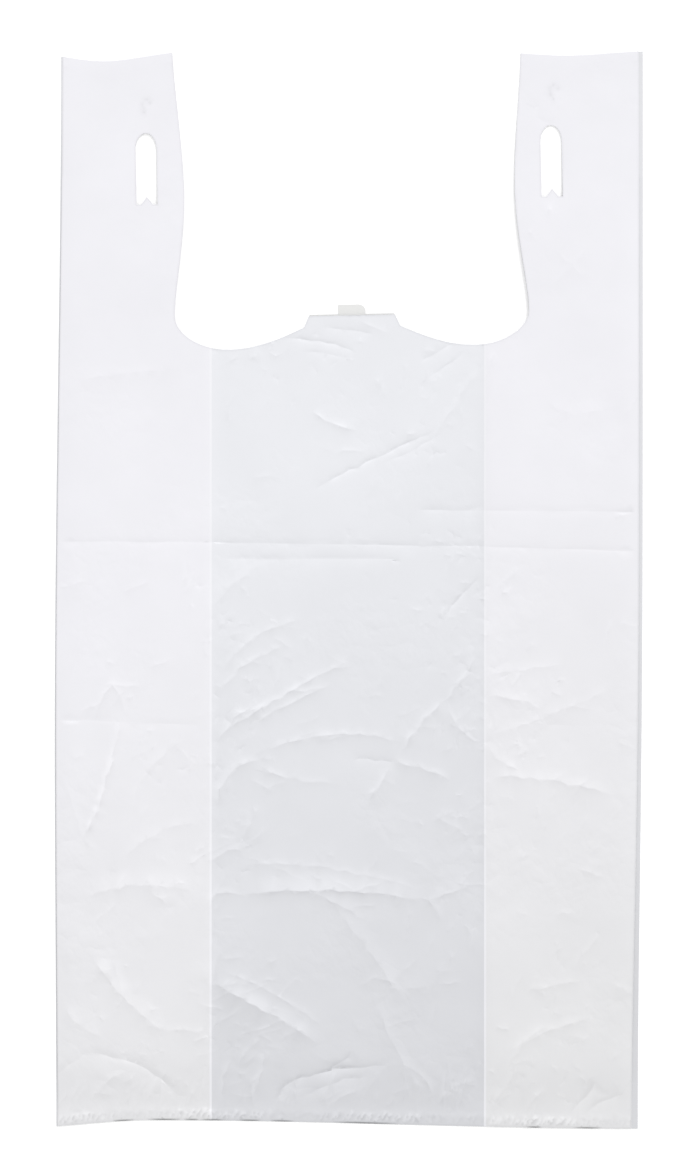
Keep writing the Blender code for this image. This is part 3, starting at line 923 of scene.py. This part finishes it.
def front_lattice():
    """Kept lattice points of the front panel: fine where it bends, and clear of its crests."""
    columns, column_levels = lattice_columns()
    rows, row_levels = lattice_rows()
    x, height = np.meshgrid(columns, rows)
    level = np.maximum(column_levels[None, :], row_levels[:, None])
    bend = bend_of(wrinkle_relief(x, height))
    keep = (level == 0) | (level == 1) & (bend > MEDIUM_BEND) | (bend > FINE_BEND)
    keep |= edge_distance(x, height) < EDGE_BAND
    keep &= clear_of_crests(x, height)
    on_outer_fold = abs(x) > HALF_WIDTH - TINY
    keep = np.where(on_outer_fold, level == 0, keep)
    return x[keep], height[keep]


def hidden_lattice(low_x, high_x):
    """Lattice points of a hidden panel: coarse at its ends and on its folds, half as many between."""
    columns, column_levels = lattice_columns()
    rows, row_levels = lattice_rows()
    columns = columns[(column_levels == 0) & (columns > low_x - TINY) & (columns < high_x + TINY)]
    rows = rows[row_levels == 0]
    x, height = np.meshgrid(columns, rows)
    across, along = np.meshgrid(np.arange(len(columns)), np.arange(len(rows)))
    keep = (across % 2 == 0) & (along % 2 == 0)
    for place in (low_x, high_x, -FOLD_X, -LINE_X, LINE_X, FOLD_X):
        keep |= abs(x - place) < TINY
    keep |= abs(height - HALF_LENGTH) > HALF_LENGTH - END_EASE
    return x[keep], height[keep]


class Panel(NamedTuple):
    """One panel of the tube: points in film coordinates, triangles, their materials and sharp edges."""

    x: np.ndarray
    height: np.ndarray
    triangles: np.ndarray
    slots: np.ndarray
    sharp: np.ndarray


def cut_panel(layer, low_x, high_x):
    """One panel of film between two folds, less what the die takes out of it."""
    x, height = front_lattice() if layer == FRONT else hidden_lattice(low_x, high_x)
    points = list(zip(x.tolist(), height.tolist()))
    edges = line_edges(x, height, (-FOLD_X, -LINE_X, LINE_X, FOLD_X))
    first_crest = len(edges)
    creased = wrinkles() + skirt_strokes() if layer == FRONT else []
    for numbers in add_paths(points, [wrinkle.path.tolist() for wrinkle in creased]):
        edges += zip(numbers, numbers[1:])
    border = [(low_x, 0.0), (high_x, 0.0), (high_x, BAG_LENGTH), (low_x, BAG_LENGTH)]
    cuts = [list(zip(*unfold(*outline.T, layer))) for outline in die_outlines()]
    loops = add_paths(points, [border] + cuts)
    flat = [Vector(point) for point in points]
    found = delaunay_2d_cdt(flat, edges, loops, HULL_TRIANGLES, TINY)
    places, joins, triangles, _, join_sources, triangle_sources = found
    sharp = [any(first_crest <= source < len(edges) for source in sources) for sources in join_sources]
    return kept_panel(layer, np.array(places), np.array(joins)[sharp], triangles, triangle_sources)


def add_paths(points, paths):
    """Add paths to a list of points and return the numbers of each path's points."""
    found = []
    for path in paths:
        found.append(list(range(len(points), len(points) + len(path))))
        points += path
    return found


def kept_panel(layer, places, sharp, triangles, sources):
    """What stays of a triangulated panel, with its unused points left out."""
    inside = [set(loops) for loops in sources]
    whole = [{BORDER_LOOP}] if layer == FRONT else [{BORDER_LOOP}, {BORDER_LOOP, TEAR_LOOP}]
    keep = [loops in whole for loops in inside]
    torn = np.array([TEAR_LOOP in loops for loops in inside])[keep]
    used, triangles = np.unique(np.array(triangles)[keep], return_inverse=True)
    triangles = triangles.reshape(-1, 3)
    sharp = sharp[np.isin(sharp, used).all(axis=1)]
    x, height = places[used].T
    slots = triangle_slots(layer, abs(x[triangles].mean(axis=1)), torn)
    return Panel(x, height, triangles, slots, np.searchsorted(used, sharp))


def triangle_slots(layer, middle, torn):
    """Material numbers by layer, distance from the middle of the bag and the torn-off front."""
    # A strip beside each inner fold takes the paler film of a painted highlight
    zones = np.where(middle > LINE_X, FOLD_HIGHLIGHT_SLOT, TWO_LAYER_SLOT)
    zones = np.where(middle > FOLD_X, FOUR_LAYER_SLOT, zones)
    if layer == OUTER_GUSSET:
        return np.full(len(middle), FOUR_LAYER_SLOT)
    if layer == INNER_GUSSET:
        return np.full(len(middle), GUSSET_SLOT)
    return np.where(torn & (layer == BACK), ONE_LAYER_SLOT, zones)


class FilmSheet:
    """Film in world places that grows by panels and by the folds between them."""

    def __init__(self):
        self.points = []
        self.painted_shading_values = []
        self.faces = []
        self.slots = []
        self.sharp = []

    def add_points(self, x, height, layer, draw_back):
        """Add points of one layer and return the number of the first."""
        first = len(self.points)
        painted_shading_values = front_painted_shading(x, height) if layer == FRONT else np.zeros(x.shape)
        self.points += film_points(x, height, layer, draw_back).tolist()
        self.painted_shading_values += painted_shading_values.tolist()
        return first

    def add_panel(self, layer, low_x, high_x):
        """Add a panel and return the numbers and heights of its points along each of its folds."""
        panel = cut_panel(layer, low_x, high_x)
        at_low, at_high = abs(panel.x - low_x) < TINY, abs(panel.x - high_x) < TINY
        first = self.add_points(panel.x, panel.height, layer, at_low.astype(float) - at_high)
        self.faces += (panel.triangles + first).tolist()
        self.slots += panel.slots.tolist()
        self.sharp += (panel.sharp + first).tolist()
        folds = {}
        for place, on_fold in ((low_x, at_low), (high_x, at_high)):
            column = np.flatnonzero(on_fold)
            column = column[np.argsort(panel.height[column])]
            folds[place] = column + first, panel.height[column]
        return folds

    def add_fold(self, place, column, heights, next_column, layer):
        """Join two panels by a half turn of film."""
        first = self.add_points(np.full(len(heights), place), heights, layer, 0)
        turn = np.arange(first, first + len(heights))
        for one, other in ((column, turn), (turn, next_column)):
            cells = zip(one.tolist(), one[1:].tolist(), other[1:].tolist(), other.tolist())
            self.faces += list(cells)
            self.slots += [FOUR_LAYER_SLOT if layer > INNER_GUSSET else GUSSET_SLOT] * (len(one) - 1)

    def make_mesh(self, name):
        """The sheet as a mesh, with its painted shading and its sharp edges as attributes."""
        mesh = bpy.data.meshes.new(name)
        mesh.from_pydata(self.points, [], self.faces)
        mesh.polygons.foreach_set("material_index", self.slots)
        mesh.attributes.new("painted_shading", "FLOAT", "POINT").data.foreach_set("value", self.painted_shading_values)
        ends = np.empty(2 * len(mesh.edges), dtype=int)
        mesh.edges.foreach_get("vertices", ends)
        keys = edge_keys(ends.reshape(-1, 2), len(self.points))
        on_crest = np.isin(keys, edge_keys(np.array(self.sharp), len(self.points)))
        mesh.attributes.new("crest", "BOOLEAN", "EDGE").data.foreach_set("value", on_crest)
        face_outward(mesh)
        return mesh


def edge_keys(ends, count):
    """One number for each edge, whichever way round it runs."""
    return ends.min(axis=1) * count + ends.max(axis=1)


def face_outward(mesh):
    """Turn all faces of a mesh the same way and smooth them."""
    shape = bmesh.new()
    shape.from_mesh(mesh)
    bmesh.ops.recalc_face_normals(shape, faces=shape.faces[:])
    shape.to_mesh(mesh)
    shape.free()
    mesh.shade_smooth()


def film_sheet():
    """The whole folded tube's middle surface as one mesh."""
    sheet = FilmSheet()
    folds = [sheet.add_panel(layer, low_x, high_x) for layer, low_x, high_x, _ in PANELS]
    for index, (layer, _, _, place) in enumerate(PANELS):
        following = (index + 1) % len(PANELS)
        column, heights = folds[index][place]
        turn = (layer + PANELS[following][0]) / 2
        sheet.add_fold(place, column, heights, folds[following][place][0], turn)
    return sheet.make_mesh("bag_film")


def corner(x, y):
    """A sharp corner of a flat outline."""
    return (x, y), None, None


def mirrored(knots):
    """The other half of an outline, in the order that carries on around it."""
    def flip(pull):
        return pull and (-pull[0], pull[1])
    return [((-x, y), flip(leave), flip(arrive)) for (x, y), arrive, leave in reversed(knots)]


def die_outline(knots):
    """World places around an outline of Bezier knots, with the die's tilt and shift.

    A knot without a pull aims straight at its neighbour, as a curve's vector handle does.
    """
    turned = []
    for (start, _, leave), (end, arrive, _) in zip(knots, knots[1:] + knots[:1]):
        start, end = Vector(start), Vector(end)
        if leave is None and arrive is None:
            turned.append(start)
            continue
        leaving = start + (Vector(leave) if leave else (end - start) / 3)
        arriving = end + (Vector(arrive) if arrive else (start - end) / 3)
        turned += interpolate_bezier(start, leaving, arriving, end, CURVE_POINTS)[:-1]
    turn = Matrix.Rotation(DIE_TILT, 2)
    places = np.array([turn @ point for point in turned]) + (DIE_SHIFT, SCOOP_LOW - HALF_LENGTH)
    return places if runs_anticlockwise(places) else places[::-1]


def runs_anticlockwise(places):
    """Whether an outline keeps its inside on its left, as the triangulation needs."""
    x, y = places.T
    return (x * np.roll(y, -1) - y * np.roll(x, -1)).sum() > 0


def mouth_knots():
    """Outline of the mouth above its lowest line, as the die cuts it."""
    tab_half = TAB_WIDTH / 2
    right = [
        ((MOUTH_HALF - HANDLE_TOP_SWELL, MOUTH_DEPTH + CUT_MARGIN), None, (0, -HANDLE_SWELL_PULL)),
        ((MOUTH_HALF - HANDLE_SWELL, HANDLE_SWELL_RISE), (0, HANDLE_SWELL_PULL), (0, -HANDLE_SWELL_PULL)),
        ((MOUTH_HALF, NECK_RISE), (0, NECK_PULL_UP), (0, -NECK_PULL_DOWN)),
        ((MOUTH_HALF - SCOOP_LOW_INSET, 0), (SCOOP_PULL, 0), (-SCOOP_PULL, 0)),
        ((tab_half + TAB_FOOT_SPREAD, TAB_FOOT_RISE), TAB_FOOT_PULL, None),
        corner(tab_half, TAB_RISE),
    ]
    return right + nub_knots() + mirrored(right)


def nub_knots():
    """Outline of the nub that the tab was torn off by, with one corner worn round."""
    half = NUB_WIDTH / 2
    top = TAB_RISE + NUB_RISE
    pull = NUB_ROUND * ELLIPSE_PULL
    return [
        corner(half, TAB_RISE),
        ((half, top - NUB_ROUND), None, (0, pull)),
        ((half - NUB_ROUND, top), (pull, 0), None),
        corner(-half, top),
        corner(-half, TAB_RISE),
    ]


def tab_trim_knots():
    """Outline that tears the tab's nub, and a little more, off the front panel."""
    half = TAB_WIDTH / 2 + CUT_MARGIN
    low = TAB_RISE - TAB_FRONT_DROP
    high = TAB_RISE + NUB_RISE + CUT_MARGIN
    return [corner(half, low), corner(half, high), corner(-half, high), corner(-half, low)]


def slot_knots(centre):
    """Outline of one rack slot, round at the top and fishtailed at the bottom."""
    half = SLOT_WIDTH / 2
    shoulder = SLOT_RISE + SLOT_LENGTH - SLOT_TOP_ROUND
    side_pull = (0, SLOT_TOP_ROUND * ELLIPSE_PULL)
    top_pull = half * ELLIPSE_PULL
    return [
        ((centre, SLOT_RISE + SLOT_LENGTH), (top_pull, 0), (-top_pull, 0)),
        ((centre - half, shoulder), side_pull, None),
        corner(centre - half, SLOT_RISE),
        corner(centre - FISHTAIL_WIDTH / 2, SLOT_RISE),
        corner(centre, SLOT_RISE + FISHTAIL_RISE),
        corner(centre + FISHTAIL_WIDTH / 2, SLOT_RISE),
        corner(centre + half, SLOT_RISE),
        ((centre + half, shoulder), None, side_pull),
    ]


@cache
def die_outlines():
    """Every cut of the die in world places, the one that only tears the front panel first."""
    slot_x = MOUTH_HALF - HANDLE_SWELL + SLOT_LAND + SLOT_WIDTH / 2
    every = tab_trim_knots(), mouth_knots(), slot_knots(-slot_x), slot_knots(slot_x)
    return [die_outline(knots) for knots in every]


def evaluated_mesh(piece):
    """A new mesh of a piece as its modifiers make it."""
    bpy.context.view_layer.update()
    return bpy.data.meshes.new_from_object(piece.evaluated_get(bpy.context.evaluated_depsgraph_get()))


def sharpen(mesh):
    """Shade a mesh with hard edges along its crests and round its cut film."""
    mesh.set_sharp_from_angle(angle=SHARP_ANGLE)
    flags = {}
    for name in ("crest", "sharp_edge"):
        flags[name] = np.empty(len(mesh.edges), dtype=bool)
        mesh.attributes[name].data.foreach_get("value", flags[name])
    mesh.attributes["sharp_edge"].data.foreach_set("value", flags["crest"] | flags["sharp_edge"])


def scene_object(name, data):
    """A new object in the scene."""
    item = bpy.data.objects.new(name, data)
    bpy.context.scene.collection.objects.link(item)
    return item


def make_bag(materials):
    """The folded, creased and die-cut film as one closed mesh."""
    mesh = film_sheet()
    for material in materials:
        mesh.materials.append(material)
    bag = scene_object("bag_film", mesh)
    wall = bag.modifiers.new("film", "SOLIDIFY")
    wall.thickness = FILM
    wall.offset = 0
    finished = evaluated_mesh(bag)
    bag.modifiers.clear()
    bag.data = finished
    sharpen(finished)
    return bag


class NodeTree:
    """Short forms for adding and joining shader nodes."""

    def __init__(self, tree):
        self.tree = tree

    def add(self, kind, **values):
        """A node with its properties and, by name, its unlinked inputs set."""
        node = self.tree.nodes.new(kind)
        for name, value in values.items():
            if name in node.bl_rna.properties:
                setattr(node, name, value)
            else:
                node.inputs[name.replace("_", " ")].default_value = value
        return node

    def join(self, source, target):
        """Link one output to one input."""
        self.tree.links.new(source, target)

    def feed(self, value, target):
        """Link an output to an input, or set the input to a fixed value."""
        if isinstance(value, bpy.types.NodeSocket):
            self.join(value, target)
        else:
            target.default_value = value

    def turned(self, place, lengths=(1, 1, 1), heading=0.0):
        """Coordinates along a heading, in units of the given lengths."""
        mapping = self.add("ShaderNodeMapping", vector_type="TEXTURE", Scale=lengths)
        mapping.inputs["Rotation"].default_value = (0, 0, heading)
        self.join(place, mapping.inputs["Vector"])
        return mapping.outputs["Vector"]

    def noise(self, place, scale, detail):
        """Noise over coordinates."""
        texture = self.add("ShaderNodeTexNoise", Scale=scale, Detail=detail)
        self.join(place, texture.inputs["Vector"])
        return texture.outputs["Fac"]

    def math(self, operation, source, value):
        """One sum of a linked value and a fixed or linked one."""
        node = self.add("ShaderNodeMath", operation=operation)
        self.join(source, node.inputs[0])
        self.feed(value, node.inputs[1])
        return node.outputs["Value"]

    def remap(self, source, start, end, low=0.0, high=1.0):
        """Values from start to end turned into values from low to high."""
        node = self.add("ShaderNodeMapRange", From_Min=start, From_Max=end, To_Min=low, To_Max=high)
        self.join(source, node.inputs["Value"])
        return node.outputs["Result"]

    def mixed(self, share, first, second):
        """Colour between two colours, each fixed or linked."""
        node = self.add("ShaderNodeMix", data_type="RGBA")
        self.join(share, node.inputs["Factor"])
        for name, colour in (("A", first), ("B", second)):
            socket = next(item for item in node.inputs if item.name == name and item.type == "RGBA")
            self.feed((*colour, 1) if isinstance(colour, tuple) else colour, socket)
        return next(item for item in node.outputs if item.type == "RGBA")

    def bump(self, height, strength, distance, under=None):
        """Surface direction with fine relief, over other relief if there is any."""
        node = self.add("ShaderNodeBump", Distance=distance)
        self.join(height, node.inputs["Height"])
        self.feed(strength, node.inputs["Strength"])
        if under is not None:
            self.join(under, node.inputs["Normal"])
        return node.outputs["Normal"]


def film_colour(tree, place, top, bottom, painted_shade_start):
    """White with painted shade that darkens it towards the bottom right, faint random clouds, and the
    painted highlights and shade that the mesh holds along its folds.
    """
    slanted = tree.add("ShaderNodeSeparateXYZ")
    tree.join(tree.turned(place, heading=PAINTED_SHADE_TILT), slanted.inputs["Vector"])
    # Painted shade towards the bottom right
    painted_falloff = tree.mixed(tree.remap(slanted.outputs["Y"], painted_shade_start, PAINTED_SHADE_END), top, bottom)
    clouds = tree.remap(tree.noise(place, *CLOUD_NOISE), *NOISE_RANGE, CLOUD_SHADE, 1.0)
    # Painted highlights and painted shade that the mesh's points hold
    folds = tree.add("ShaderNodeAttribute", attribute_name="painted_shading")
    level = tree.math("ADD", clouds, folds.outputs["Fac"])
    shaded = tree.add("ShaderNodeVectorMath", operation="SCALE")
    tree.join(painted_falloff, shaded.inputs[0])
    tree.join(level, shaded.inputs["Scale"])
    return shaded.outputs["Vector"]


def fold_pattern(tree, place, scale, lengths, heading):
    """Height of a web of fine sharp folds: how far a noise lies from its middle value."""
    raw = tree.noise(tree.turned(place, lengths, heading), scale, FOLD_NOISE_DETAIL)
    return tree.math("ABSOLUTE", tree.math("SUBTRACT", raw, NOISE_MIDDLE), 0)


def film_normal(tree, place, calm, lively):
    """Fine crumpling that grows from the handles to the bottom, and faint draw lines."""
    axes = tree.add("ShaderNodeSeparateXYZ")
    tree.join(place, axes.inputs["Vector"])
    lower = CALM_START - CALM_RUN - HALF_LENGTH
    liveliness = tree.remap(axes.outputs["Y"], CALM_START - HALF_LENGTH, lower, calm, lively)
    patches = tree.remap(tree.noise(place, *PATCH_NOISE), *PATCH_RANGE, PATCH_CALM, 1.0)
    strength = tree.math("MULTIPLY", liveliness, patches)
    draw_lines = tree.noise(tree.turned(place, DRAW_LINE_LENGTHS), *DRAW_LINE_NOISE)
    normal = tree.bump(draw_lines, DRAW_LINE_STRENGTH, DRAW_LINE_DEPTH)
    for scale, lengths, heading, depth in FINE_FOLDS:
        folds = fold_pattern(tree, place, scale, lengths, heading)
        normal = tree.bump(folds, strength, depth, normal)
    return normal


def film_material(name, top, bottom, painted_shade_start, calm, lively):
    """Thin white film with a soft gloss."""
    material = bpy.data.materials.new(name)
    material.use_nodes = True
    tree = NodeTree(material.node_tree)
    shader = material.node_tree.nodes["Principled BSDF"]
    place = tree.add("ShaderNodeTexCoord").outputs["Object"]
    gloss = tree.remap(tree.noise(place, *GLOSS_NOISE), *NOISE_RANGE, *ROUGHNESS_RANGE)
    tree.join(film_colour(tree, place, top, bottom, painted_shade_start), shader.inputs["Base Color"])
    tree.join(gloss, shader.inputs["Roughness"])
    tree.join(film_normal(tree, place, calm, lively), shader.inputs["Normal"])
    return material


def make_floor():
    """Plain white floor that shows white to the camera and keeps the bag's shadow."""
    half = FLOOR_SIZE / 2
    corners = [(-half, -half), (half, -half), (half, half), (-half, half)]
    mesh = bpy.data.meshes.new("floor")
    mesh.from_pydata([(x, y, -FLOOR_DROP) for x, y in corners], [], [(0, 1, 2, 3)])
    material = bpy.data.materials.new("floor_white")
    material.use_nodes = True
    tree = NodeTree(material.node_tree)
    material.node_tree.nodes.remove(material.node_tree.nodes["Principled BSDF"])
    output = material.node_tree.nodes["Material Output"]
    paths = tree.add("ShaderNodeLightPath")
    matt = tree.add("ShaderNodeBsdfDiffuse", Color=FLOOR_COLOUR)
    glow = tree.add("ShaderNodeEmission")
    seen = tree.math("MAXIMUM", paths.outputs["Is Camera Ray"], paths.outputs["Is Glossy Ray"])
    seen = tree.math("MAXIMUM", seen, paths.outputs["Is Transmission Ray"])
    tree.join(tree.math("MULTIPLY", seen, FLOOR_GLOW), glow.inputs["Strength"])
    both = tree.add("ShaderNodeAddShader")
    tree.join(matt.outputs[0], both.inputs[0])
    tree.join(glow.outputs[0], both.inputs[1])
    tree.join(both.outputs[0], output.inputs["Surface"])
    mesh.materials.append(material)
    floor = scene_object("floor", mesh)


def make_sun():
    """A soft low sun beyond the handles, which shows up the creases."""
    lamp = bpy.data.lights.new("sun", "SUN")
    lamp.energy = SUN_STRENGTH
    lamp.angle = SUN_ANGLE
    light = scene_object("sun", lamp)
    light.location = SUN_PLACE
    light.rotation_euler = (-Vector(SUN_PLACE)).to_track_quat("-Z", "Y").to_euler()


def make_world():
    """Even white surroundings."""
    world = bpy.data.worlds.new("studio")
    bpy.context.scene.world = world
    world.use_nodes = True
    tree = NodeTree(world.node_tree)
    background = world.node_tree.nodes["Background"]
    paths = tree.add("ShaderNodeLightPath")
    strength = tree.add("ShaderNodeMapRange", To_Min=WORLD_STRENGTH, To_Max=1.0)
    tree.join(paths.outputs["Is Camera Ray"], strength.inputs["Value"])
    tree.join(strength.outputs["Result"], background.inputs["Strength"])
    background.inputs["Color"].default_value = (1, 1, 1, 1)


def make_camera():
    """Camera straight above the bag, with its long side along it."""
    data = bpy.data.cameras.new("camera")
    data.lens = LENS_MM
    data.sensor_width = SENSOR_MM
    camera = scene_object("camera", data)
    camera.location = (CAMERA_X, CAMERA_Y, IMAGE_HEIGHT * LENS_MM / SENSOR_MM)
    bpy.context.scene.camera = camera


def main():
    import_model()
    bag = make_bag([film_material(*film) for film in FILMS])
    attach(bag, "root")
    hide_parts("carrier_bag")
    make_floor()
    make_world()
    make_sun()
    make_camera()
    bpy.context.scene.view_settings.view_transform = "Standard"


main()
